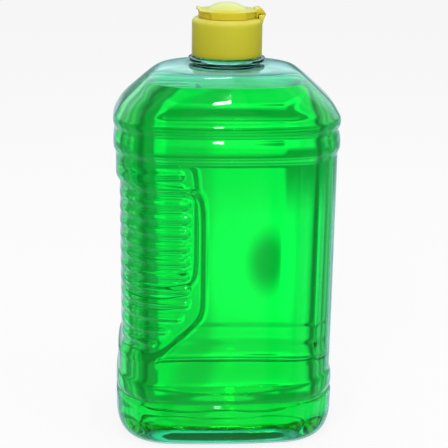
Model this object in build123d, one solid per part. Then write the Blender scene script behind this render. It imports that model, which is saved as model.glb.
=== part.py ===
from build123d import *
import math
import os

# A clear one-litre bottle of green cologne with a ribbed side grip and a yellow flip-top screw cap.
# Millimetres, +Z up. The bottle stands on z = 0 with its neck on the Z axis. Its front looks along -Y and
# its grip is at -X. Offsets called "inset" run inwards, square to the rounded body.

# Body section: four wide faces with a slight bulge, joined by four corner arcs
half_width = 49.0
half_depth = 37.0
face_radius = 257.0
corner_radius = 24.4

# Walls and fits
wall = 0.55
floor_wall = 0.8
liquid_clearance = 0.15
overrun = 6.0

# Flat facets that stand for the arcs in the grip pocket, on its ribs and inside
side_facets = 2
corner_facets = 4
back_facets = 3

# Bands of the body, from the ground up
base_round = 6.5
foot_height = 20.8
foot_lip_height = 2.2
low_bead_height = 9.6
panel_zone_height = 99.9
high_bead_height = 9.6
top_bead_height = 7.1
bead_depth = 1.0
bead_slope = 2.1
base_turn_shares = (0.0, 0.4, 1.0)

# Underside push-up
push_up_inset = 10.0
push_up_height = 6.0
push_up_slope = 4.0

# Label panel, front and back
panel_half_width = 39.0
panel_low_left = 30.5
panel_margin = 8.0
panel_depth = 0.7

# Grip pocket and its ribs, round the left side
grip_edge = 9.0
grip_drop = 10.3
grip_height = 80.5
grip_corner_radius = 10.0
grip_bend_rise = 28.8
grip_foot_width = 21.0
grip_depth = 1.9
grip_slope = 2.6
rib_pitch = 6.3
rib_width = 4.7
rib_height = 1.0
rib_end_gap = 7.0
first_rib_drop = 2.4

# Shoulder: from the top bead to a nearly flat crown round the neck
shoulder_height = 18.2
crown_half_width = 28.5
crown_half_depth = 24.2
crown_face_radius = 76.0
crown_corner_radius = 18.8
shoulder_rise_shares = (0.2, 0.5, 0.7, 0.87, 1.0)
shoulder_in_shares = (0.15, 0.43, 0.63, 0.83, 1.0)
fill_share = 0.676

# Neck
neck_root_height = 1.3
neck_root_radius = 13.3
ring_radius = 16.5
ring_thickness = 2.0
neck_radius = 12.55
neck_bore = 10.9
neck_height = 14.3

# Screw cap
seat_gap = 0.02
liner_thickness = 1.0
liner_hole = 2.4
liner_rim_gap = 0.15
cap_radius = 15.1
cap_wall = 1.05
cap_ring_gap = 0.5
deck_thickness = 1.3
cap_edge_bevel = 1.3
spout_radius = 3.4
spout_height = 1.7
spout_bore = 1.6

# Flip lid
lid_gap = 0.05
lid_wall_radius = 12.3
lid_wall = 1.2
lid_wall_height = 2.6
lid_plate_radius = 13.3
lid_plate_thickness = 0.8
dome_half_width = 10.0
dome_half_depth = 13.1
dome_height = 6.1
dome_wall = 3.6
lip_width = 9.0
lip_depth = 2.2
lip_height = 1.0
plug_gap = 0.3
plug_length = 1.3

# Film hinge, at the lid's right edge
hinge_reach = 16.3
hinge_width = 9.0
hinge_rise = 1.7
hinge_leg_height = 2.6
hinge_root = 3.0
film_gap = 0.1

# Levels that follow from the heights
low_bead_level = foot_height
panel_zone_level = low_bead_level + low_bead_height
high_bead_level = panel_zone_level + panel_zone_height
top_bead_level = high_bead_level + high_bead_height
shoulder_level = top_bead_level + top_bead_height
crown_level = shoulder_level + shoulder_height
fill_level = shoulder_level + shoulder_height * fill_share
ring_level = crown_level + neck_root_height
ring_top = ring_level + ring_thickness
rim_level = ring_top + neck_height
liner_level = rim_level + seat_gap
deck_underside = liner_level + liner_thickness + seat_gap
deck_level = deck_underside + deck_thickness
cap_level = ring_top + cap_ring_gap
lid_level = deck_level + lid_gap
hinge_level = deck_level + hinge_rise


def arc_points(centre, start, end, count):
    """Evenly turned points on the short arc from start to end, anticlockwise, without the end."""
    first, last = start - centre, end - centre
    turn = first.get_angle(last)
    return [centre + first.rotate(Axis.Z, turn * i / count) for i in range(count)]


def section_wire(a, b, face, corner, facets):
    """Closed outline of half width a and half depth b, of eight tangent arcs or of flat facets.

    The centre of a corner arc lies equally far from the centres of the two face arcs beside it.
    """
    back_centre, side_centre = Vector(0, b - face), Vector(a - face, 0)
    between = side_centre - back_centre
    reach = math.sqrt((face - corner) ** 2 - (between.length / 2) ** 2)
    centre = (back_centre + side_centre) / 2 + Vector(between.Y, -between.X).normalized() * reach
    side_join = centre + (centre - side_centre).normalized() * corner
    back_join = centre + (centre - back_centre).normalized() * corner
    low_join = Vector(side_join.X, -side_join.Y)
    far_join = Vector(-back_join.X, back_join.Y)
    half = [(side_centre, low_join, side_join, side_facets)]
    half += [(centre, side_join, back_join, corner_facets)]
    half += [(back_centre, back_join, far_join, back_facets)]
    mirrored = Vector(-centre.X, centre.Y)
    half += [(mirrored, far_join, Vector(-side_join.X, side_join.Y), corner_facets)]
    count = [arc[3] if facets else 2 for arc in half]
    points = [point for arc, n in zip(half, count) for point in arc_points(*arc[:3], n)]
    points += [Vector(-p.X, -p.Y) for p in points]
    if facets:
        return Wire(Polyline(*points, close=True))
    points.append(points[0])
    return Wire([ThreePointArc(*points[i : i + 3]) for i in range(0, len(points) - 1, 2)])


def body_wire(inset, facets=False):
    """The body's outline, moved inwards all round."""
    sizes = (half_width - inset, half_depth - inset, face_radius - inset, corner_radius - inset)
    return section_wire(*sizes, facets)


def slab(inset, low, high, facets=False):
    """The body's outline as a prism between two levels."""
    return Pos(0, 0, low) * extrude(Face(body_wire(inset, facets)), high - low)


def bead(level, height):
    """A band that stands out from the panel zone, with sloping sides, as pairs of inset and level."""
    high = level + height
    return [(bead_depth, level), (0, level + bead_slope), (0, high - bead_slope), (bead_depth, high)]


def side_view(inset, floor):
    """The wall from the ground to the shoulder, as pairs of inset and level. The top bead is a ridge."""
    round_radius = base_round - inset
    rows = []
    for share in base_turn_shares:
        turn = math.pi / 2 * share
        rows.append((round_radius * (1 - math.sin(turn)), floor + round_radius * (1 - math.cos(turn))))
    rows.append((0, foot_height - foot_lip_height))
    rows += bead(low_bead_level, low_bead_height)
    rows += bead(high_bead_level, high_bead_height)
    rows += [(0, top_bead_level + top_bead_height / 2), (bead_depth, shoulder_level)]
    return [(way + inset, level) for way, level in rows]


def vessel(inset, floor, facets):
    """The bottle's body and shoulder as one solid: the outside, the cavity or the liquid."""
    wires = [Pos(0, 0, level) * body_wire(way, facets) for way, level in side_view(inset, floor)]
    start = bead_depth + inset
    sizes = (
        (half_width - start, crown_half_width - inset),
        (half_depth - start, crown_half_depth - inset),
        (face_radius - start, crown_face_radius - inset),
        (corner_radius - start, crown_corner_radius - inset),
    )
    for rise, way in zip(shoulder_rise_shares, shoulder_in_shares):
        values = [low + (high - low) * way for low, high in sizes]
        level = shoulder_level + (shoulder_height - inset) * rise
        wires.append(Pos(0, 0, level) * section_wire(*values, facets))
    body = Solid.make_loft(wires, ruled=True)
    return body - panel_recess(inset, facets) - grip_recess(inset) - push_up(floor, facets)


def panel_outline(grow):
    """Front view of the label panel; its lower left corner is cut back under the grip's foot."""
    low = panel_zone_level + panel_margin
    high = high_bead_level
    step = panel_zone_level + grip_bend_rise
    return offset(
        Plane.XZ
        * make_face(
            Polyline(
                (-panel_half_width, high),
                (panel_half_width, high),
                (panel_half_width, low),
                (-panel_low_left, low),
                (-panel_low_left, step),
                (-panel_half_width, step),
                close=True,
            )
        ),
        grow,
        kind=Kind.INTERSECTION,
    )


def grip_outline(grow):
    """Front view of the grip pocket: an upright edge, a rounded top corner and a slanting foot."""
    high = high_bead_level - grip_drop
    low = high - grip_height
    bend = panel_zone_level + grip_bend_rise + grip_depth
    far = half_width + overrun
    outline = Polyline(
        (-far, high),
        (-grip_edge, high),
        (-grip_edge, bend),
        (-grip_edge - grip_foot_width, low),
        (-far, low),
        close=True,
    )
    face = make_face(outline)
    corners = face.vertices().filter_by(lambda v: v.X > -half_width)
    face = fillet(corners, grip_corner_radius)
    return Plane.XZ * offset(face, grow)


def panel_recess(inset, facets):
    """What the label panel takes off the front and back faces."""
    prism = extrude(panel_outline(inset), half_depth + overrun, both=True)
    return prism - slab(bead_depth + panel_depth + inset, 0, shoulder_level, facets)


def grip_recess(inset):
    """What the grip takes off: sloping edges on the front and back, straight edges round the side."""
    floor_depth = half_depth - bead_depth - grip_depth - inset
    mouth_depth = half_depth + overrun
    slope = math.degrees(math.atan2(grip_slope, grip_depth))
    mouth = grip_outline(inset + overrun * grip_slope / grip_depth)
    front = Pos(0, -mouth_depth, 0) * extrude(
        mouth, mouth_depth - floor_depth, dir=(0, 1, 0), taper=slope
    )
    prism = extrude(grip_outline(inset - grip_slope), floor_depth + grip_depth / 2, both=True)
    mouths = prism + front + mirror(front, Plane.XZ)
    return mouths - slab(bead_depth + grip_depth + inset, 0, shoulder_level, True)


def tapered(wire, height, narrowing):
    """A prism on the wire that narrows as it rises."""
    return extrude(Face(wire), height, taper=math.degrees(math.atan2(narrowing, height)))


def push_up(grow, facets):
    """The hollow under the base: a frustum of the body's outline."""
    height = push_up_height + grow
    mouth = push_up_inset - grow
    return tapered(body_wire(mouth, facets), height, push_up_slope) + slab(mouth, -overrun, 0, facets)


def rib(level, end):
    """One raised rib round the grip side, a low ridge that ends in a point in the front view."""
    half = rib_width / 2
    crest = bead_depth + grip_depth - rib_height
    upper = tapered(body_wire(crest, True), half, rib_height)
    ridge = upper + mirror(upper, Plane.XY)
    far = half_width + overrun
    tip = (-end, 0)
    finger = Polyline((-far, half), (-end - half, half), tip, (-end - half, -half), (-far, -half), close=True)
    return Pos(0, 0, level) * (ridge & extrude(Plane.XZ * make_face(finger), half_depth + overrun, both=True))


def grip_ribs():
    """The row of ribs in the grip pocket, whose ends keep their distance from its edge and slanting foot."""
    top = high_bead_level - grip_drop - first_rib_drop
    bend = panel_zone_level + grip_bend_rise + grip_depth
    lean = grip_foot_width / (bend - high_bead_level + grip_drop + grip_height)
    turn = rib_end_gap * lean / (1 + math.hypot(1, lean))
    count = int((grip_height - first_rib_drop - rib_width / 2) / rib_pitch) + 1
    ribs = []
    for i in range(count):
        level = top - i * rib_pitch
        end = grip_edge + rib_end_gap + max(0, bend + turn - level) * lean
        ribs.append(rib(level, end))
    return ribs


def tube(outer, inner, low, high):
    """A plain ring between two levels."""
    ring = Circle(outer) - Circle(inner) if inner else Circle(outer)
    return Pos(0, 0, low) * extrude(ring, high - low)


def make_bottle():
    neck = tube(neck_root_radius, 0, crown_level - wall, ring_level)
    neck += tube(ring_radius, 0, ring_level, ring_top)
    neck += tube(neck_radius, 0, ring_top, rim_level)
    outside = vessel(0, 0, False) + neck + grip_ribs()
    cavity = vessel(wall, floor_wall, True)
    bore = tube(neck_bore, 0, crown_level - wall - overrun / 2, rim_level + overrun)
    return outside - (cavity + bore)


def make_liquid():
    body = vessel(wall + liquid_clearance, floor_wall + liquid_clearance, True)
    return body - slab(-overrun, fill_level, crown_level + overrun)


def make_liner():
    return tube(neck_radius + liner_rim_gap, liner_hole, liner_level, liner_level + liner_thickness)


def make_cap():
    """Skirt, deck with a spout, and the lower leg of the film hinge."""
    body = tube(cap_radius, 0, cap_level, deck_level)
    body = chamfer(body.edges().group_by(Axis.Z)[-1], cap_edge_bevel)
    body -= tube(cap_radius - cap_wall, 0, cap_level - overrun, deck_underside)
    body += tube(spout_radius, 0, deck_level - deck_thickness / 2, deck_level + spout_height)
    top = hinge_level - film_gap / 2
    leg = Polyline(
        (hinge_reach, top),
        (hinge_reach - hinge_root, top),
        (cap_radius - cap_edge_bevel - cap_wall / 2, deck_level - deck_thickness / 2),
        (cap_radius - cap_wall, deck_level - hinge_leg_height),
        close=True,
    )
    body += extrude(Plane.XZ * make_face(leg), hinge_width / 2, both=True)
    return body - tube(spout_bore, 0, deck_underside - overrun, deck_level + spout_height + overrun)


def arch(half_span, height):
    """A flat arch on the ground line, as a face."""
    foot = Line((half_span, 0), (-half_span, 0))
    return make_face([ThreePointArc((-half_span, 0), (0, height), (half_span, 0)), foot])


def dome():
    """A pillow that is arched both ways: one arch run front to back, cut by another run across."""
    run = extrude(Plane.XZ * arch(dome_half_width, dome_height), dome_half_depth, both=True)
    return run & extrude(Plane.YZ * arch(dome_half_depth, dome_height), dome_half_width, both=True)


def make_lid():
    """Shallow lid: a wall under a wider plate, a long dome, a raised thumb lip and the upper hinge leg."""
    plate_low = lid_level + lid_wall_height
    plate_top = plate_low + lid_plate_thickness
    body = tube(lid_wall_radius, 0, lid_level, plate_low) + tube(lid_plate_radius, 0, plate_low, plate_top)
    body += Pos(0, 0, lid_level) * dome()
    lip = tube(lid_plate_radius, 0, plate_low, plate_top + lip_height)
    lip &= Pos(-lid_plate_radius, 0, plate_top) * Box(lip_depth * 2, lip_width, overrun)
    body += lip
    low = hinge_level + film_gap / 2
    leg = Polyline(
        (hinge_reach, low),
        (hinge_reach - hinge_root, plate_top + lip_height),
        (lid_wall_radius - lid_wall, plate_top + lip_height),
        (lid_wall_radius - lid_wall, plate_low),
        (hinge_reach - hinge_root, low),
        close=True,
    )
    body += extrude(Plane.XZ * make_face(leg), hinge_width / 2, both=True)
    roof = plate_top
    body -= tube(lid_wall_radius - lid_wall, 0, lid_level - overrun, plate_low)
    body -= tube(dome_half_width - dome_wall, 0, lid_level, roof)
    plug = tube(spout_bore - plug_gap, 0, deck_level - plug_length, roof)
    return body + plug


parts = {
    "bottle": make_bottle,
    "liquid": make_liquid,
    "sealing_liner": make_liner,
    "screw_cap": make_cap,
    "flip_lid": make_lid,
}
os.makedirs("parts", exist_ok=True)
for name, make in parts.items():
    export_step(make(), f"parts/{name}.step")
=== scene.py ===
import math

import bpy
import numpy as np
from mathutils import Matrix, Vector


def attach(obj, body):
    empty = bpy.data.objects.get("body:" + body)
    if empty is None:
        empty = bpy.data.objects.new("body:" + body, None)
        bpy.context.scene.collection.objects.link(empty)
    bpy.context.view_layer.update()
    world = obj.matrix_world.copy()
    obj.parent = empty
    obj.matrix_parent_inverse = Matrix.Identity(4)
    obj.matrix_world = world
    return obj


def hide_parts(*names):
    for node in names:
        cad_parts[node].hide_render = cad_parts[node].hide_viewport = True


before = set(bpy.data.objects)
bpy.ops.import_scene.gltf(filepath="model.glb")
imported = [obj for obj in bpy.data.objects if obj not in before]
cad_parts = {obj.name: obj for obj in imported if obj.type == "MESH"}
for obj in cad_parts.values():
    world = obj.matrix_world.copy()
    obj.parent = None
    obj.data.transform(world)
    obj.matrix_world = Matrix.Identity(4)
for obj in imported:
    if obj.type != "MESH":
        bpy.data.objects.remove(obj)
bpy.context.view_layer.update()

# A clear bottle of green cologne with a ribbed grip and a yellow flip-top cap.
# Sizes are millimetres until a mesh is made. +Z is up, the front looks along -Y and the grip is at -X.
MM = 0.001

# Body section: four wide faces with a slight bulge, joined by four corner arcs
HALF_WIDTH = 49.0
HALF_DEPTH = 37.0
FACE_RADIUS = 257.0
CORNER_RADIUS = 24.4
BEAD_DEPTH = 1.0
RING_INSET = 10.5
UNDER_HALF_WIDTH = 34.0
FOOT_TOP = 20.0

# The crown's section: half width, half depth, face radius and corner radius
CROWN = (28.5, 24.2, 76.0, 18.8)

# Wall and contents
WALL = 0.55
LIQUID_GAP = 0.14
FILL_LEVEL = 159.3
MENISCUS = 0.45

# Grip pocket in the front view, with the rounding of its corners
GRIP_EDGE = 9.0
GRIP_TOP = 120.0
GRIP_LOW = 39.5
GRIP_BEND = 61.1
GRIP_LEAN = 21.0 / 21.6
GRIP_DEPTH = 1.9
GRIP_SLOPE = 3.0
GRIP_FOOT_SHIFT = 0.2
TOP_ROUNDING = 3.6
FOOT_ROUNDING = 2.0
BEND_ROUNDING = 1.6

# Ribs, which get lower round the side of the body
RIB_PITCH = 6.3
RIB_HALF = 2.35
RIB_HEIGHT = 1.0
RIB_GAP = 7.0
RIB_COUNT = 13
FIRST_RIB_DROP = 2.4
RIB_FADE_START = 41.5
RIB_FADE_RUN = 5.0
RIB_FADE = 0.6

# Label panel in the front view, whose left edge steps in beside the grip's foot
PANEL_HALF = 39.0
PANEL_LOW_LEFT = 30.5
PANEL_STEP_LEVEL = 57.0
PANEL_STEP_RISE = 2.0
PANEL_LOW = 38.4
PANEL_TOP = 130.3
PANEL_DEPTH = 0.7
PANEL_LIP = 1.0
FACE_NORMAL = 0.3
SUNK_LOW, SUNK_TOP = 37.0, 131.0

# Neck and thread
NECK_RADIUS = 12.55
RING_RADIUS = 16.5
BORE_RADIUS = 10.9
RIM_LEVEL = 182.8
THREAD_PITCH = 4.23
THREAD_DEPTH = 1.1
THREAD_HALF = 1.15
THREAD_LEVEL = 171.6
THREAD_TURNS = 1.75
THREAD_FADE = 0.1

# Screw cap
SKIRT_RADIUS = 15.1
SKIRT_BORE = 14.05
SKIRT_LOW = 169.0
DECK_UNDERSIDE = 183.84
DECK_LEVEL = 185.14
SPOUT_LEVEL = 186.84
SPOUT_RADIUS = 3.4
SPOUT_BORE = 1.6

# Flip lid and its hinge
LID_LEVEL = 185.19
LID_WALL_RADIUS = 12.35
PLATE_LEVEL = 188.42
PLATE_RADIUS = 12.9
DOME_HALF_WIDTH, DOME_HALF_DEPTH = 9.9, 13.4
DOME_LEVEL, DOME_HEIGHT = 185.2, 6.05
LIP_START, LIP_RUN = 9.8, 2.6
LIP_HALF_WIDTH, LIP_HEIGHT = 5.6, 1.15
FULL_WALL_RADIUS = 13.16
HINGE_X, HINGE_Z = 16.3, 186.84
HINGE_HALF_WIDTH = 4.5
HINGE_EDGE = 0.35
FILM_HALF_GAP = 0.06

# Spacing of the body's rows between two levels, and of its columns between two places across the front
PLAIN_ROW_STEP = 1.0
ROW_STEPS = ((9.0, 19.0, 3.0), (23.0, 28.0, 1.6), (37.0, 121.0, 0.88), (121.0, 129.0, 1.6),
             (150.0, 200.0, 1.5))
PLAIN_COLUMN_STEP = 2.3
COLUMN_STEPS = ((-20.0, -7.0, 0.72), (-34.0, -20.0, 1.0), (PANEL_HALF - 2.2, PANEL_HALF + 2.2, 0.8))
COLUMN_STEPS_FROM_Y = 14.0

# Studio
PANEL_TURN = math.pi / 8
DARK_TONE, PANEL_TONE = 0.45, 0.65
FRONT_TONE = 0.78
SPOT_PLACE, SPOT_REACH = (0.042, -0.32), (0.0145, 0.036)
RING_PLACE, RING_REACH = (0.015, -0.325), (0.13, 0.075)
WORLD_LIGHT = 0.42
SKY_TINT = (0.72, 1.0, 1.0, 1)
WHITE = (1, 1, 1, 1)

# Floor, and the half sizes of the painted dark green shadow under the base
FLOOR_HALF = 6000.0
FLOOR_LEVEL = -0.02
FLOOR_SHARE = 0.86
# painted shadow: how bright the dark green glow under the base is
UNDER_SHADOW_TONE = 0.12
UNDER_SHADOW_PLACE = (44.0, 32.0)

# Camera: its place in metres and degrees, its sensor in millimetres and its picture in pixels
CAMERA_AWAY, CAMERA_HEIGHT = 0.5148, 0.2492
CAMERA_YAW, CAMERA_PITCH, CAMERA_ROLL = 3.50, 16.89, 0.78
SENSOR_WIDTH = 36.0
PICTURE_WIDTH = 448.0
FOCAL_PIXELS = 1200.0
MIDDLE_PIXEL = 224.45


# Meshes
def make_object(name, points, faces, smooth=True):
    """A mesh object from arrays of points in millimetres and of faces, with smooth shading."""
    mesh = bpy.data.meshes.new(name)
    mesh.from_pydata((np.asarray(points) * MM).tolist(), [], faces)
    mesh.update()
    mesh.polygons.foreach_set("use_smooth", np.full(len(mesh.polygons), smooth))
    obj = bpy.data.objects.new(name, mesh)
    bpy.context.scene.collection.objects.link(obj)
    return obj


def grid_faces(rows, columns, wrap_rows=False):
    """Quads between neighbouring rows of a grid whose columns close round."""
    last = rows if wrap_rows else rows - 1
    i, j = np.meshgrid(np.arange(last), np.arange(columns), indexing="ij")
    up, along = (i + 1) % rows, (j + 1) % columns
    quads = np.stack([i * columns + j, i * columns + along, up * columns + along, up * columns + j], -1)
    return quads.reshape(-1, 4)


def closed_skin(name, grid, flip=False):
    """A skin of rings, from a pole to a pole: a ring's mean point closes each end with a fan."""
    rows, columns = grid.shape[:2]
    points = np.concatenate([grid.reshape(-1, 3), grid[0].mean(0)[None], grid[-1].mean(0)[None]])
    quads = grid_faces(rows, columns)
    j = np.arange(columns)
    first = np.stack([np.full(columns, rows * columns), (j + 1) % columns, j], -1)
    base = (rows - 1) * columns
    last = np.stack([np.full(columns, rows * columns + 1), base + j, base + (j + 1) % columns], -1)
    if flip:
        quads, first, last = quads[:, ::-1], first[:, ::-1], last[:, ::-1]
    return make_object(name, points, quads.tolist() + first.tolist() + last.tolist())


def closed_ring(name, grid):
    """A skin whose rows and columns both close, as of a turned ring."""
    rows, columns = grid.shape[:2]
    return make_object(name, grid.reshape(-1, 3), grid_faces(rows, columns, True).tolist())


def soften(path, rounds, closed=False):
    """Corner cutting: each round replaces every corner with points a quarter along its two sides."""
    path = np.asarray(path, float)
    for _ in range(rounds):
        after = np.roll(path, -1, 0)
        pairs = np.stack([0.75 * path + 0.25 * after, 0.25 * path + 0.75 * after], 1)
        if closed:
            path = pairs.reshape(-1, path.shape[1])
        else:
            path = np.concatenate([path[:1], pairs[:-1].reshape(-1, path.shape[1]), path[-1:]])
    return path


def spread(path, steps):
    """Rows along a path, whose first column is its width and whose last is its level, at the given step
    for each level: steps is a function of the level."""
    run = np.hypot(np.diff(path[:, 0]), np.diff(path[:, -1]))
    middle = 0.5 * (path[1:, -1] + path[:-1, -1])
    weight = np.concatenate([[0], np.cumsum(run / steps(middle))])
    wanted = np.linspace(0, weight[-1], int(round(weight[-1])) + 1)
    return np.stack([np.interp(wanted, weight, path[:, k]) for k in range(path.shape[1])], 1)


def banded(place, plain, bands):
    """A plain value everywhere, apart from the bands: each has its own value between two limits."""
    made = np.full(place.shape, plain)
    for low, high, value in bands:
        made[(place > low) & (place <= high)] = value
    return made


def ease(x):
    """A smooth step from 0 to 1 while x goes from 0 to 1."""
    x = np.clip(x, 0, 1)
    return x * x * (3 - 2 * x)


def soft_min(a, b, reach):
    """The smaller of two fields, with the corner between them rounded over about the reach."""
    return -reach * np.logaddexp(-a / reach, -b / reach)


# Body
def section(rows, columns):
    """Rings of eight tangent arcs, with their outward normals.

    A row is half width, half depth, face radius and corner radius. A column is an arc number plus a
    share of that arc, counted round one quarter as side, corner, face, and then mirrored.
    """
    a, b, face, corner = [rows[:, k : k + 1] for k in range(4)]
    side_x, face_y = a - face, b - face
    span = np.hypot(side_x, face_y)
    reach = np.sqrt(np.maximum((face - corner) ** 2 - (span / 2) ** 2, 0))
    cx = side_x / 2 + reach * -face_y / span
    cy = face_y / 2 + reach * -side_x / span
    side_turn = np.arctan2(cy, cx - side_x)
    face_turn = np.arctan2(cy - face_y, cx)
    quarter = np.floor(columns / 3).astype(int)
    t = columns - 3 * quarter
    t = np.where(quarter % 2 == 1, 3 - t, t)[None, :]
    sx = np.where((quarter == 1) | (quarter == 2), -1.0, 1.0)[None, :]
    sy = np.where(quarter >= 2, -1.0, 1.0)[None, :]
    on_side, on_face = t <= 1, t >= 2
    turn = np.where(on_side, t * side_turn, side_turn + (t - 1) * (face_turn - side_turn))
    turn = np.where(on_face, face_turn + (t - 2) * (math.pi / 2 - face_turn), turn)
    x0 = np.where(on_side, side_x, np.where(on_face, 0, cx))
    y0 = np.where(on_side, 0, np.where(on_face, face_y, cy))
    radius = np.where(on_side | on_face, face, corner)
    nx, ny = np.cos(turn), np.sin(turn)
    return sx * (x0 + radius * nx), sy * (y0 + radius * ny), sx * nx, sy * ny


def inset_row(inset, level):
    """The body's section moved inwards all round."""
    return (HALF_WIDTH - inset, HALF_DEPTH - inset, FACE_RADIUS - inset, CORNER_RADIUS - inset, level)


def floor_row(share, level):
    """The standing ring's section scaled about its centre, under the base."""
    return tuple(share * size for size in inset_row(RING_INSET, level)[:4]) + (level,)


def shoulder_row(half_width, level):
    """A section on the shoulder: as far from the panel's section to the crown's as its half width is."""
    panel = inset_row(BEAD_DEPTH, level)
    share = (panel[0] - half_width) / (panel[0] - CROWN[0])
    return tuple(low + share * (high - low) for low, high in zip(panel, CROWN + (level,)))


def disc_row(radius, level):
    """A round section, its arcs all of nearly one radius."""
    return (radius, radius, radius * 1.0004, radius * 0.9996, level)


def column_marks():
    """Columns round the body, closer together at the grip's edge, its rib ends and the panel's edge."""
    dense = np.linspace(0, 12, 24001)[:-1]
    x, y, _, _ = section(np.array([inset_row(BEAD_DEPTH, 0)]), dense)
    x, y = x[0], y[0]
    step = banded(x, PLAIN_COLUMN_STEP, COLUMN_STEPS)
    step[np.abs(y) <= COLUMN_STEPS_FROM_Y] = PLAIN_COLUMN_STEP
    run = np.hypot(np.diff(x, append=x[:1]), np.diff(y, append=y[:1]))
    weight = np.concatenate([[0], np.cumsum(run / step)])
    count = int(round(weight[-1] / 4)) * 4
    wanted = np.arange(count) / count * weight[-1]
    return np.interp(wanted, weight[:-1], dense)


COLUMNS = column_marks()


def body_rows():
    """Rows of the blown body, from the middle of its base up to the crown: the base is pushed up
    inside its standing ring, raised bands stand above and below the panel, and the shoulder is domed."""
    floor = [(0.03, 5.7), (0.3, 5.8), (0.6, 5.9), (0.8, 5.7), (0.9, 4.4), (0.97, 1.6), (1.0, 0.5),
             (1.03, 0.0), (1.12, 0.0)]
    foot = [(4.6, 0.2), (2.7, 1.5), (1.3, 4.0), (0.5, 6.8), (0.1, 9.6), (0.0, 13.0), (0.0, 17.2),
            (0.02, 19.6), (0.35, 20.3), (1.25, 20.6), (1.3, 21.1)]
    low_bead = [(0.5, 21.6), (0.15, 22.7), (0.05, 24.2), (0.1, 26.6), (0.25, 28.3), (0.95, 29.9), (1.15, 30.7)]
    panel_zone = [(1.0, 33.0), (0.95, 60.0), (1.0, 85.0), (0.95, 110.0), (1.0, 128.6), (1.05, 129.9)]
    high_bead = [(0.8, 130.4), (0.15, 131.4), (0.02, 132.6), (0.0, 134.6), (0.15, 136.6), (0.6, 138.6),
                 (1.1, 139.5)]
    top_bead = [(1.15, 140.3), (0.5, 141.0), (0.12, 142.2), (0.0, 143.5), (0.12, 144.6), (0.6, 145.9)]
    shoulder = [(47.9, 146.4), (46.7, 148.6), (45.2, 150.7), (42.6, 153.2), (39.4, 156.1), (35.9, 159.3),
                (32.6, 162.1), (30.2, 163.8), (27.5, 164.7), (24.0, 165.1)]
    round_neck = [(20.5, 19.6, 40.0, 17.4, 165.3), (17.5, 17.3, 22.0, 16.4, 165.45)]
    keys = [floor_row(share, level) for share, level in floor]
    bands = foot + low_bead + panel_zone + high_bead + top_bead
    keys += [inset_row(inset, level) for inset, level in bands]
    keys += [shoulder_row(half_width, level) for half_width, level in shoulder]
    return soften(keys + round_neck, 3)


def grip_field(x, z):
    """Distance inwards from the grip pocket's edge in the front view: the smallest of the distances
    from its top, its upright edge, its slanting foot and its bottom, with rounded corners."""
    top = GRIP_TOP - z
    edge = -GRIP_EDGE - x
    foot = ((z - GRIP_BEND) / GRIP_LEAN - (x + GRIP_EDGE)) / math.hypot(1, 1 / GRIP_LEAN) + GRIP_FOOT_SHIFT
    low = z - GRIP_LOW
    return soft_min(soft_min(top, edge, TOP_ROUNDING), soft_min(foot, low, FOOT_ROUNDING), BEND_ROUNDING)


def rib_field(x, z):
    """The ribs' share of their height: each is a rounded bar from the left with a round finger end,
    whose end steps back along the pocket's slanting foot. They are lower round the side of the body."""
    total = np.zeros(np.broadcast(x, z).shape)
    turn = RIB_GAP * GRIP_LEAN / (1 + math.hypot(1, GRIP_LEAN))
    for i in range(RIB_COUNT):
        level = GRIP_TOP - FIRST_RIB_DROP - i * RIB_PITCH
        end = -GRIP_EDGE - RIB_GAP - max(0.0, GRIP_BEND + turn - level) * GRIP_LEAN - RIB_HALF
        away = np.hypot(np.maximum(x - end, 0), z - level) / RIB_HALF
        total += 0.5 + 0.5 * np.cos(math.pi * np.clip(away, 0, 1))
    return total * (1 - RIB_FADE * ease((-x - RIB_FADE_START) / RIB_FADE_RUN))


def panel_field(x, ny, z):
    """The label panel's share of its depth: a smooth step at each edge, on the front and back only."""
    side = ease((PANEL_HALF - np.abs(x)) / PANEL_LIP + 0.5)
    step = np.clip((z - PANEL_STEP_LEVEL) / PANEL_STEP_RISE, 0, 1)
    corner = PANEL_LOW_LEFT + step * (PANEL_HALF - PANEL_LOW_LEFT)
    left = ease((corner + x) / PANEL_LIP + 0.5)
    low = ease((z - PANEL_LOW + 0.5) / 1.1)
    high = ease((PANEL_TOP - 0.2 - z) / 0.8)
    return np.minimum(side, left) * low * high * (np.abs(ny) > FACE_NORMAL)


def sunk(x, ny, z):
    """How far the wall is sunk at a place: by the grip pocket less its ribs, or by the panel."""
    grip = ease(grip_field(x, z) / GRIP_SLOPE)
    pocket = grip * (GRIP_DEPTH - RIB_HEIGHT * rib_field(x, z))
    return np.maximum(pocket, PANEL_DEPTH * panel_field(x, ny, z) * (1 - grip))


def body_step(level):
    """Row spacing on the body, by level."""
    return banded(level, PLAIN_ROW_STEP, ROW_STEPS)


def body_grid(rows, inset):
    """Points of the body's wall moved inwards by the inset, square to the profile. The sunk depth is
    taken off along the section's own normal. Rows of the underside are scaled, to keep their form."""
    profile = rows[:, [0, 4]]
    way = np.gradient(profile, axis=0)
    way /= np.hypot(way[:, :1], way[:, 1:])
    out, up = way[:, 1:], -way[:, :1]
    moved = rows.copy()
    moved[:, :4] -= inset * out
    moved[:, 4:] -= inset * up
    under = (rows[:, 0] < UNDER_HALF_WIDTH) & (rows[:, 4] < FOOT_TOP)
    moved[under, :4] = rows[under, :4] * (moved[under, :1] / rows[under, :1])
    x, y, nx, ny = section(moved[:, :4], COLUMNS)
    z = np.broadcast_to(moved[:, 4:], x.shape)
    place = rows[:, 4:]
    across = section(rows[:, :4], COLUMNS)[0]
    depth = sunk(across, ny, place) * ((place > SUNK_LOW) & (place < SUNK_TOP))
    return np.stack([x - depth * nx, y - depth * ny, z], -1)


def ring_grid(keys):
    """Plain round rows from pairs of radius and level, with the body's columns."""
    rows = np.array([disc_row(r, z) for r, z in keys])
    x, y, _, _ = section(rows[:, :4], COLUMNS)
    return np.stack([x, y, np.broadcast_to(rows[:, 4:], x.shape)], -1)


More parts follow.
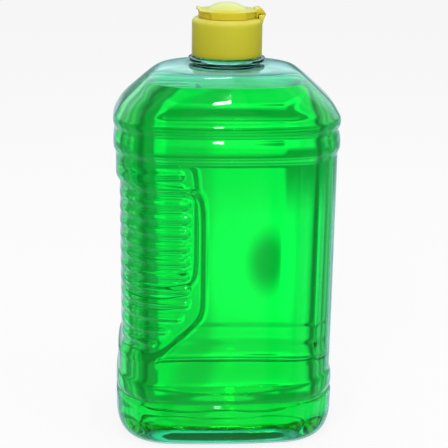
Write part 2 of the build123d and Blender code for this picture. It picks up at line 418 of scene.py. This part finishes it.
def neck_grid():
    """The neck's outside: a root fillet, the support ring, and the finish with its screw thread, a
    ridge whose middle climbs one pitch a turn and fades out at both ends."""
    root = [(15.0, 165.6), (13.9, 165.75), (13.4, 166.2), (13.5, 166.45)]
    ring = [(15.4, 166.55), (16.4, 166.7), (RING_RADIUS, 167.0), (RING_RADIUS, 168.0), (16.4, 168.35),
            (15.6, 168.5)]
    finish = [(13.1, 168.6), (12.6, 169.0), (NECK_RADIUS, 169.8), (NECK_RADIUS, 176.0), (NECK_RADIUS, 181.9),
              (12.5, 182.6), (12.1, RIM_LEVEL)]
    keys = spread(soften(root + ring + finish, 2), lambda z: np.where(z > 169.6, 0.42, 0.5))
    grid = ring_grid(keys)
    turn = np.arctan2(grid[..., 1], grid[..., 0]) / (2 * math.pi)
    climb = (grid[..., 2] - THREAD_LEVEL) / THREAD_PITCH - turn
    lap = np.round(climb)
    along = lap + turn
    ridge = np.cos(math.pi * np.clip((climb - lap) * THREAD_PITCH / THREAD_HALF, -1, 1)) * 0.5 + 0.5
    ends = ease((along + THREAD_FADE) / THREAD_FADE) * ease((THREAD_TURNS - along) / THREAD_FADE)
    grow = 1 + THREAD_DEPTH * ridge * ends / NECK_RADIUS
    grid[..., :2] *= grow[..., None]
    return grid


def make_bottle():
    """The clear bottle: outside from the base to the neck's rim, then the bore and the inner wall back
    down to the middle of the floor, as one closed skin."""
    rows = spread(body_rows(), body_step)
    outside = body_grid(rows, 0)
    inside = body_grid(rows, WALL)[::-1]
    bore = ring_grid([(11.5, RIM_LEVEL), (11.05, 182.6), (BORE_RADIUS, 182.2), (BORE_RADIUS, 175.0),
                      (BORE_RADIUS, 168.2), (11.0, 166.8), (11.6, 165.6), (12.9, 165.05), (15.0, 164.92)])
    return closed_skin("clear_bottle", np.concatenate([outside, neck_grid(), bore, inside]))


def make_liquid():
    """The cologne: the inner wall's form a little smaller, cut at the fill level, with a level surface
    that climbs the wall in a small meniscus."""
    wall = body_grid(spread(body_rows(), body_step), WALL + LIQUID_GAP)
    below = wall[: np.argmax(wall[:, 0, 2] > FILL_LEVEL)]
    above = wall[len(below)]
    share = (FILL_LEVEL - below[-1, :1, 2:]) / (above[:1, 2:] - below[-1, :1, 2:])
    edge = below[-1] + (above - below[-1]) * share
    descent = [(0.3, 0.16), (0.8, 0.32), (1.6, 0.42), (3.0, MENISCUS), (9.0, MENISCUS), (18.0, MENISCUS)]
    surface = []
    for way, drop in descent:
        ring = edge.copy()
        ring[:, :2] *= 1 - way / np.hypot(edge[:, :1], edge[:, 1:2])
        ring[:, 2] = FILL_LEVEL - drop
        surface.append(ring)
    return closed_skin("cologne", np.concatenate([below, edge[None], np.array(surface)]))


# Cap, lid and liner
def turned(keys, count):
    """A closed profile of radius and level, with its corners softened, carried round the Z axis."""
    path = soften(keys, 2, True)
    turn = np.arange(count) / count * 2 * math.pi
    r, z = path[:, :1], path[:, 1:]
    return np.stack([r * np.cos(turn), r * np.sin(turn), np.broadcast_to(z, (len(path), count))], -1)


def make_cap_base():
    """The screw cap: a smooth skirt with a rounded top edge, a flat deck, and a short spout with a
    drilled hole in its middle."""
    skirt = [(14.15, 169.05), (14.3, SKIRT_LOW), (14.95, SKIRT_LOW), (SKIRT_RADIUS, 169.15),
             (SKIRT_RADIUS, 171.0), (SKIRT_RADIUS, 178.0)]
    edge = [(15.08, 182.6), (15.0, 183.6), (14.6, 184.45), (13.9, 184.98), (13.1, 185.12)]
    deck = [(12.0, DECK_LEVEL), (8.0, DECK_LEVEL), (4.2, DECK_LEVEL)]
    spout = [(3.5, 185.2), (SPOUT_RADIUS, 185.5), (SPOUT_RADIUS, 186.4), (3.2, 186.8), (2.6, SPOUT_LEVEL),
             (1.9, SPOUT_LEVEL), (1.65, 186.7), (SPOUT_BORE, 186.3), (SPOUT_BORE, 185.0), (1.62, 184.1)]
    inside = [(1.9, DECK_UNDERSIDE), (5.0, DECK_UNDERSIDE), (10.0, DECK_UNDERSIDE), (13.6, DECK_UNDERSIDE),
              (14.0, 183.6), (SKIRT_BORE, 183.0), (SKIRT_BORE, 178.0), (SKIRT_BORE, 171.0)]
    return closed_ring("cap_base", turned(skirt + edge + deck + spout + inside, 160))


def lid_top(x, y):
    """Level of the lid's top: a flat plate with a soft dome, longer front to back than across, and a
    thumb lip that rises at the left rim."""
    inside = 1 - np.abs(x / DOME_HALF_WIDTH) ** 2.1 - np.abs(y / DOME_HALF_DEPTH) ** 2.6
    dome = DOME_LEVEL + DOME_HEIGHT * np.sqrt(np.maximum(inside, 0))
    lip = LIP_HEIGHT * ease((-x - LIP_START) / LIP_RUN) * ease((LIP_HALF_WIDTH - np.abs(y)) / LIP_RUN)
    return -soft_min(-(PLATE_LEVEL + lip), -dome, 0.12)


def make_lid():
    """The flip lid: a thin plate over a drawn-in wall, with a domed middle, a thumb lip and a plug. The
    top is rings on lid_top. The rest is a turned profile, whose rim rises with the lip and whose wall
    comes out to its full radius at the front and the back."""
    turn = np.arange(168) / 168 * 2 * math.pi
    rings = [0.15, 1.5, 3.0, 4.5, 6.0, 7.2, 8.0, 8.6, 9.2, 9.9, 10.7, 11.4, 12.0, 12.5, PLATE_RADIUS]
    radius = np.array(rings)[:, None]
    x, y = radius * np.cos(turn), radius * np.sin(turn)
    top = np.stack([x, y, lid_top(x, y)], -1)
    rim = [(PLATE_RADIUS, PLATE_LEVEL), (13.22, 188.36), (13.28, 188.1), (13.2, 187.86), (12.7, 187.78)]
    wall = [(12.4, 187.6), (12.32, 187.0), (12.3, 186.0), (12.3, 185.3), (12.2, LID_LEVEL), (11.6, LID_LEVEL),
            (11.15, 185.22), (11.1, 185.6), (11.1, 187.2)]
    ceiling = [(10.9, 187.6), (8.0, 187.72), (6.6, 187.9), (3.0, 188.0)]
    plug = [(1.7, 187.9), (1.32, 187.4), (1.3, 186.0), (1.3, 184.3), (1.1, 183.95), (0.6, 183.84),
            (0.12, 183.84)]
    keys = soften(rim + wall + ceiling + plug, 2)
    r, z = keys[:, :1], keys[:, 1:]
    outer = ease((r - 11.95) / 0.3) * ease((188.0 - z) / 0.3)
    r = r + (FULL_WALL_RADIUS - r) * outer * ease((8.4 - np.abs(12.6 * np.cos(turn))) / 1.6)
    lift = (lid_top(PLATE_RADIUS * np.cos(turn), PLATE_RADIUS * np.sin(turn)) - PLATE_LEVEL)[None, :]
    rim_share = ease((z - 187.7) / 0.6) * (r > LID_WALL_RADIUS)
    wall_share = 0.75 * ease((r - LID_WALL_RADIUS) / 0.5) * (z < 188.0)
    level = z + lift * np.clip(rim_share + wall_share, 0, 1)
    under = np.stack([r * np.cos(turn), r * np.sin(turn), level], -1)
    return closed_skin("lid", np.concatenate([top, under[1:]]), flip=True)


def slat(name, outline):
    """A small moulded block: a closed outline in the XZ plane carried across Y, with rounded ends."""
    path = soften(outline, 2, True)
    middle = path.mean(0)
    reach = np.linalg.norm(path - middle, axis=1, keepdims=True)
    spans = [(-HINGE_HALF_WIDTH, 0.5), (-HINGE_HALF_WIDTH + HINGE_EDGE * 0.25, 0.85),
             (-HINGE_HALF_WIDTH + HINGE_EDGE, 1.0)]
    spans += [(-y, share) for y, share in reversed(spans)]
    rings = []
    for y, share in spans:
        ring = middle + (path - middle) * np.maximum(1 - (1 - share) * HINGE_EDGE / reach, 0.2)
        rings.append(np.stack([ring[:, 0], np.full(len(ring), y), ring[:, 1]], -1))
    return closed_skin(name, np.array(rings))


def make_hinge_legs():
    """The film hinge's two legs, which taper to its edge. The upper one has a web down to the lid's
    wall."""
    tip = HINGE_X - 0.02
    lower = [(tip, HINGE_Z - FILM_HALF_GAP), (15.6, 186.8), (13.4, 186.72), (13.0, 186.2), (13.2, 185.2),
             (13.6, 184.4), (14.2, 183.4), (14.7, 182.7), (15.02, 183.2), (15.3, 184.6), (16.0, 186.3)]
    upper = [(tip, HINGE_Z + FILM_HALF_GAP), (15.9, 187.5), (14.4, 189.0), (13.4, 189.5), (12.2, 189.4),
             (11.4, 188.8), (11.3, 187.6), (11.5, 185.6), (12.0, 185.3), (12.75, 185.3), (12.8, 186.6),
             (13.2, 186.98), (15.4, 186.9)]
    return slat("hinge_lower_leg", lower), slat("hinge_upper_leg", upper)


def make_liner():
    """The sealing liner: a thin soft disc with a hole and rounded edges."""
    keys = [(2.4, 182.95), (2.5, 182.83), (7.0, 182.82), (12.5, 182.83), (12.7, 182.95), (12.7, 183.7),
            (12.5, 183.81), (7.0, 183.82), (2.5, 183.81), (2.4, 183.7)]
    return closed_ring("liner", turned(keys, 120))


# Materials
class Value:
    """A shader socket with arithmetic: each operator adds its Math node."""

    def __init__(self, tree, socket):
        self.tree, self.socket = tree, socket

    def __add__(self, other):
        return self.tree.maths("ADD", self, other)

    def __sub__(self, other):
        return self.tree.maths("SUBTRACT", self, other)

    def __rsub__(self, other):
        return self.tree.maths("SUBTRACT", other, self)

    def __mul__(self, other):
        return self.tree.maths("MULTIPLY", self, other)

    def __truediv__(self, other):
        return self.tree.maths("DIVIDE", self, other)

    __radd__ = __add__
    __rmul__ = __mul__


class Tree:
    """The node tree of a new material, or of a world."""

    def __init__(self, name, world=False):
        self.owner = bpy.data.worlds.new(name) if world else bpy.data.materials.new(name)
        self.owner.use_nodes = True
        self.nodes = self.owner.node_tree.nodes
        self.links = self.owner.node_tree.links
        self.nodes.clear()
        self.out = self.nodes.new("ShaderNodeOutputWorld" if world else "ShaderNodeOutputMaterial")

    def fill(self, socket, value):
        """Sets a socket, or links it to a value."""
        if isinstance(value, Value):
            self.links.new(value.socket, socket)
        else:
            socket.default_value = value

    def node(self, kind, settings=None, inputs=None, output=0):
        """Adds any node: its settings first, then the values or links of its sockets."""
        made = self.nodes.new(kind)
        for key, value in (settings or {}).items():
            setattr(made, key, value)
        for key, value in (inputs or {}).items():
            self.fill(made.inputs[key], value)
        return Value(self, made.outputs[output])

    def maths(self, operation, *values):
        """A Math node on one to three values."""
        return self.node("ShaderNodeMath", {"operation": operation}, dict(enumerate(values)))

    def place(self):
        """The place on a piece, in metres."""
        return self.node("ShaderNodeTexCoord", output="Object")

    def parts(self, vector):
        """The three parts of a vector."""
        made = self.node("ShaderNodeSeparateXYZ", None, {0: vector}).socket.node
        return [Value(self, made.outputs[k]) for k in range(3)]

    def blend(self, mask, low, high):
        """A colour between two colours."""
        return self.node("ShaderNodeMix", {"data_type": "RGBA"}, {0: mask, 6: low, 7: high}, 2)

    def ramp(self, value, low, high):
        """A smooth step of a value from 0 to 1 between two limits."""
        return self.node("ShaderNodeMapRange", {"interpolation_type": "SMOOTHSTEP"},
                         {0: value, 1: low, 2: high, 3: 0.0, 4: 1.0})

    def band(self, value, rise, fall):
        """A smooth band of a value, which rises to 1 between two limits and falls back between two more."""
        return self.ramp(value, *rise) * (1 - self.ramp(value, *fall))

    def noise(self, place, scale, detail, roughness=0.5):
        """Soft noise over a place, from 0 to 1."""
        return self.node("ShaderNodeTexNoise", None,
                         {"Vector": place, "Scale": scale, "Detail": detail, "Roughness": roughness})

    def bump(self, height, strength, distance):
        """The normal of a surface that is raised by a height, over a distance in metres."""
        return self.node("ShaderNodeBump", None,
                         {"Strength": strength, "Distance": distance, "Height": height})

    def finish(self, surface, volume=None):
        """Links the shaders to the output, and gives back the material or the world."""
        self.fill(self.out.inputs["Surface"], surface)
        if volume:
            self.fill(self.out.inputs["Volume"], volume)
        return self.owner


def srgb(red, green, blue):
    """A colour from 0 to 255 values as they are seen on screen."""
    parts = [c / 255 for c in (red, green, blue)]
    return tuple(c / 12.92 if c <= 0.04045 else ((c + 0.055) / 1.055) ** 2.4 for c in parts) + (1.0,)


def clear_plastic():
    """Clear blown plastic: slightly uneven, with a faint smooth waviness in its surface."""
    t = Tree("clear_plastic")
    place = t.place()
    waves = t.bump(t.noise(place, 26.0, 1.0, 0.4), 0.25, 0.0012)
    haze = t.noise(place, 60.0, 3.0)
    return t.finish(t.node("ShaderNodeBsdfPrincipled", None, {
        "Base Color": (0.72, 0.97, 0.97, 1), "IOR": 1.5, "Transmission Weight": 1.0,
        "Specular Tint": (0.45, 0.45, 0.45, 1), "Roughness": 0.012 + 0.02 * haze, "Normal": waves,
    }))


def green_liquid():
    """Clear green liquid: the colour comes from the light that its depth takes up."""
    t = Tree("green_liquid")
    tint = t.blend(t.noise(t.place(), 14.0, 2.0), (0.9, 1.0, 0.93, 1), (0.97, 1.0, 0.97, 1))
    shader = t.node("ShaderNodeBsdfPrincipled", None, {
        "Base Color": tint, "Roughness": 0.0, "IOR": 1.36, "Transmission Weight": 1.0,
        "Specular Tint": (0.1, 0.1, 0.1, 1),
    })
    depth = t.node("ShaderNodeVolumeAbsorption", None, {"Color": (0.0, 0.981, 0.64, 1.0), "Density": 110.0})
    return t.finish(shader, depth)


def yellow_plastic(name, body, highlight_colour, shade_colour, highlight_mask, shade_mask):
    """Moulded plastic with a satin surface: paler under a painted highlight, deeper under painted shade,
    with fine mottling and a slight orange-peel bump."""
    t = Tree(name)
    place = t.place()
    x, _, z = t.parts(place)
    mottle = t.noise(place, 180.0, 3.0)
    broad = t.noise(place, 55.0, 2.0)
    grain = t.noise(place, 900.0, 2.0)
    # painted highlight: the highlight colour laid over the body colour where its mask is high
    colour = t.blend(highlight_mask(t, x, z) * (0.75 + 0.5 * broad), body, highlight_colour)
    # painted shade: the shade colour laid on where its mask is high
    colour = t.blend(shade_mask(t, x, z), colour, shade_colour)
    return t.finish(t.node("ShaderNodeBsdfPrincipled", None, {
        "Base Color": colour, "Roughness": 0.3 + 0.14 * mottle, "IOR": 1.49,
        "Normal": t.bump(grain + 0.6 * mottle, 0.2, 0.0002),
        "Subsurface Weight": 0.12, "Subsurface Radius": (1.0, 0.9, 0.2), "Subsurface Scale": 0.0015,
    }))


def cap_plastic():
    """The cap's plastic, a touch greener and darker than the lid's, with a painted highlight along its top
    edge and painted shade at its foot."""
    return yellow_plastic(
        "cap_plastic", srgb(196, 190, 38), srgb(222, 214, 96), srgb(170, 168, 20),
        # painted highlight along the skirt's rounded top edge
        lambda t, x, z: t.ramp(z, 0.1815, 0.1846) * 0.6,
        # painted shade at the foot of the skirt, just above the bottle's shoulder
        lambda t, x, z: (1 - t.ramp(z, 0.1692, 0.1712)) * 0.5,
    )


def lid_plastic():
    """The lid's plastic, with a painted highlight on the dome and the lip, and saturated painted shade on
    the low wall under the rim and at the hinge.
    """
    return yellow_plastic(
        "lid_plastic", srgb(214, 204, 40), srgb(220, 224, 132), srgb(200, 172, 8),
        # painted highlight on the dome and the thumb lip, the upward tops of the lid
        lambda t, x, z: t.ramp(z, 0.1882, 0.1896) * 0.9,
        # painted shade on the low wall under the rim, and on the hinge side
        lambda t, x, z: (1 - t.ramp(z, 0.1872, 0.1880)) * 0.55 + t.ramp(x, 0.0118, 0.0140) * 0.6,
    )


def liner_foam():
    """Soft white foamed sheet with fine cells."""
    t = Tree("liner_foam")
    cells = t.node("ShaderNodeTexVoronoi", None, {"Vector": t.place(), "Scale": 1400.0})
    colour = t.blend(cells, srgb(236, 236, 228), srgb(214, 214, 206))
    return t.finish(t.node("ShaderNodeBsdfPrincipled", None, {
        "Base Color": colour, "Roughness": 0.7 + 0.1 * cells, "Normal": t.bump(cells, 0.3, 0.0002),
    }))


# Studio
def light_rays(t):
    """Three masks of the ray that asks: from the camera, off a gloss, and through a clear piece."""
    path = t.nodes.new("ShaderNodeLightPath")
    return [Value(t, path.outputs[key]) for key in ("Is Camera Ray", "Is Glossy Ray", "Is Transmission Ray")]


def span(t, x, y):
    """The length of a vector of two parts."""
    return t.maths("SQRT", x * x + y * y + 1e-8)


def patch(t, x, z, middle, reach):
    """A soft round patch: 1 at its middle, falling to 0 at its edge, in two directions."""
    u = (x - middle[0]) / reach[0]
    v = (z - middle[1]) / reach[1]
    return 1 - t.ramp(span(t, u, v), 0.25, 1.0)


def seen_through(t, x, y, z):
    """How bright the studio looks through the clear pieces, by direction alone. Lit panels stand all
    round, 45 degrees apart, each with one dimmer stripe. The gaps between them are grey, with two thin
    half-lit slits and a dark post at either side. The panels are bright low down, with a step in their
    upper edge, then dark apart from one thin line, and lit again from the horizon up. Straight down all
    is lit. A dark spot in a paler patch stands low at the back, and the front is dimmer."""
    across = span(t, x, y)
    side = t.maths("WRAP", t.maths("ARCTAN2", x, y), PANEL_TURN, -PANEL_TURN)
    wide = t.maths("ABSOLUTE", side)
    stripe = 0.5 * t.band(side, (0.064, 0.072), (0.082, 0.094))
    panel = t.band(side, (-0.25, -0.19), (0.14, 0.165)) * (1 - stripe)
    slit = 0.5 * t.band(wide, (0.32, 0.34), (0.36, 0.38))
    post = 0.4 * t.band(wide, (0.225, 0.245), (0.275, 0.295))
    under = 0.8 * (1 - t.ramp(z, -0.85, -0.6))
    lit = t.maths("MAXIMUM", t.maths("MAXIMUM", panel, slit), under)
    step = 0.035 * t.ramp(side, 0.015, 0.04)
    low = (1 - t.ramp(z - step, -0.285, -0.245)) * (0.8 + 0.2 * t.ramp(z, -0.4, -0.34))
    line = 0.7 * t.band(z, (-0.18, -0.14), (-0.12, -0.07))
    high = 0.8 * t.ramp(z, -0.06, 0.1)
    tone = DARK_TONE * (1 - post) + lit * (low + line + high) * PANEL_TONE
    back = t.ramp(y, 0.0, 0.1)
    spot = 0.6 * patch(t, x / across, z, SPOT_PLACE, SPOT_REACH) * back
    ring = 0.3 * patch(t, x / across, z, RING_PLACE, RING_REACH) * back
    tone = tone * (1 + ring) * (1 - spot)
    return tone * (FRONT_TONE + (1 - FRONT_TONE) * t.ramp(y / across, -0.8, -0.4))


def seen_mirrored(t, x, y, z):
    """How bright the studio looks in a gloss: dim in front and overhead, grey at the sides, and light
    behind, both in a band above the horizon and on the table straight behind."""
    way = y / span(t, x, y)
    behind = t.ramp(way, -0.5, 0.4)
    band = 1.4 * t.band(z, (0.08, 0.28), (0.5, 0.8))
    table = 0.7 * (1 - t.ramp(z, -0.1, 0.05)) * t.ramp(way, 0.7, 0.95)
    return 0.02 + behind * (0.1 + band + table)


def fourth_power(value):
    """A value's square, squared."""
    square = value * value
    return square * square


def floor_paper():
    """Plain white paper, which the camera sees white with the object's shadow on it. Rays through the
    clear pieces pass it by, apart from a painted shadow under the base, a faint dark green glow: a rounded
    rectangle, where the fourth powers of x and y as shares of its half sizes add up to less than 1."""
    t = Tree("floor_paper")
    place = t.place()
    x, y, _ = t.parts(place)
    camera, _, through = light_rays(t)
    colour = t.blend(t.noise(place, 40.0, 4.0), (0.86, 0.86, 0.86, 1), (0.9, 0.9, 0.9, 1))
    paper = t.node("ShaderNodeBsdfDiffuse", None, {"Color": colour})
    glow = t.node("ShaderNodeEmission", None, {"Strength": 1.0})
    seen = t.node("ShaderNodeMixShader", None, {0: camera * FLOOR_SHARE, 1: paper, 2: glow})
    reach = fourth_power(x / (UNDER_SHADOW_PLACE[0] * MM)) + fourth_power(y / (UNDER_SHADOW_PLACE[1] * MM))
    clear = t.node("ShaderNodeBsdfTransparent")
    # painted shadow: a faint dark green glow under the base, which only rays through the clear pieces see
    green = t.node("ShaderNodeEmission", None, {"Color": (0.1, 1.0, 0.12, 1), "Strength": UNDER_SHADOW_TONE})
    passed = t.node("ShaderNodeMixShader", None, {0: 1 - t.ramp(reach, 0.8, 1.2), 1: clear, 2: green})
    return t.finish(t.node("ShaderNodeMixShader", None, {0: through, 1: seen, 2: passed}))


def make_floor():
    """A wide paper floor, square to the axes. Gloss doesn't mirror it, and sees the studio past it."""
    corners = ((-1, -1), (1, -1), (1, 1), (-1, 1))
    points = [(FLOOR_HALF * x, FLOOR_HALF * y, FLOOR_LEVEL) for x, y in corners]
    obj = make_object("floor", points, [(0, 1, 2, 3)], smooth=False)
    obj.data.materials.append(floor_paper())
    obj.visible_glossy = False


def make_world():
    """Soft even light all round. The camera sees it white, and gloss and clear pieces see the studio."""
    t = Tree("studio", world=True)
    x, y, z = t.parts(t.node("ShaderNodeTexCoord", output="Generated"))
    camera, gloss, through = light_rays(t)
    looked_at = t.maths("MAXIMUM", gloss, through)
    mirror = gloss * (1 - through)
    other = 1 - t.maths("MAXIMUM", camera, looked_at)
    strength = camera + through * seen_through(t, x, y, z) + mirror * seen_mirrored(t, x, y, z)
    colour = t.blend(looked_at, WHITE, SKY_TINT)
    bpy.context.scene.world = t.finish(
        t.node("ShaderNodeBackground", None, {"Color": colour, "Strength": strength + other * WORLD_LIGHT}))


def add_lamp(name, place, aim, size, power, mirrored=False):
    """A soft lamp of a width and height, at a place in metres, turned to face its aim, with or without
    a reflection."""
    lamp = bpy.data.lights.new(name, "AREA")
    lamp.shape, lamp.energy = "RECTANGLE", power
    lamp.size, lamp.size_y = size
    obj = bpy.data.objects.new(name, lamp)
    bpy.context.scene.collection.objects.link(obj)
    obj.location = place
    obj.rotation_euler = (Vector(aim) - Vector(place)).to_track_quat("-Z", "Y").to_euler()
    obj.visible_glossy = obj.visible_transmission = mirrored


def make_camera():
    """A camera a little above the shoulder, looking slightly down and slightly from the left."""
    yaw, pitch, roll = [math.radians(angle) for angle in (CAMERA_YAW, CAMERA_PITCH, CAMERA_ROLL)]
    data = bpy.data.cameras.new("camera")
    data.sensor_width = SENSOR_WIDTH
    data.lens = FOCAL_PIXELS / PICTURE_WIDTH * SENSOR_WIDTH
    data.shift_x = (PICTURE_WIDTH / 2 - MIDDLE_PIXEL) / PICTURE_WIDTH
    obj = bpy.data.objects.new("camera", data)
    bpy.context.scene.collection.objects.link(obj)
    obj.location = (-CAMERA_AWAY * math.sin(yaw), -CAMERA_AWAY * math.cos(yaw), CAMERA_HEIGHT)
    tilt = Matrix.Rotation(math.pi / 2 - pitch, 4, "X") @ Matrix.Rotation(roll, 4, "Z")
    obj.rotation_euler = (Matrix.Rotation(-yaw, 4, "Z") @ tilt).to_euler()
    bpy.context.scene.camera = obj


# The scene
def dress(obj, material, body, slot, *nodes):
    """Gives a piece its material and body, and hides the solids that it stands for. The slot is not used."""
    obj.data.materials.append(material)
    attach(obj, body)
    if nodes:
        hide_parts(*nodes)


dress(make_bottle(), clear_plastic(), "bottle_body", "clear_plastic", "bottle")
dress(make_liquid(), green_liquid(), "bottle_body", "green_liquid", "liquid")
dress(make_liner(), liner_foam(), "liner_body", "liner_foam", "sealing_liner")
cap_yellow, lid_yellow = cap_plastic(), lid_plastic()
lower_leg, upper_leg = make_hinge_legs()
dress(make_cap_base(), cap_yellow, "cap_body", "cap_plastic", "screw_cap")
dress(lower_leg, cap_yellow, "cap_body", "cap_plastic")
dress(make_lid(), lid_yellow, "lid_body", "lid_plastic", "flip_lid")
dress(upper_leg, lid_yellow, "lid_body", "lid_plastic")
make_floor()
make_world()
add_lamp("key", (-0.35, -0.9, 0.9), (0, 0, 0.1), (0.5, 0.5), 5)
add_lamp("fill", (0.9, -0.5, 0.6), (0, 0, 0.1), (0.7, 0.7), 3)
add_lamp("top", (0.0, 0.25, 1.1), (0, 0, 0.1), (0.8, 0.8), 2.6)
add_lamp("glint", (0.03, -0.59, 0.98), (0, -0.03, 0.15), (0.08, 0.012), 0.4, mirrored=True)
add_lamp("spark", (0.01, -0.94, 0.51), (0, -0.03, 0.1), (0.04, 0.14), 1.0, mirrored=True)
add_lamp("strip", (0.0, -0.12, 0.85), (0, -0.02, 0.15), (0.12, 0.04), 0.5, mirrored=True)
make_camera()
bpy.context.scene.view_settings.view_transform = "Standard"

bpy.context.view_layer.update()
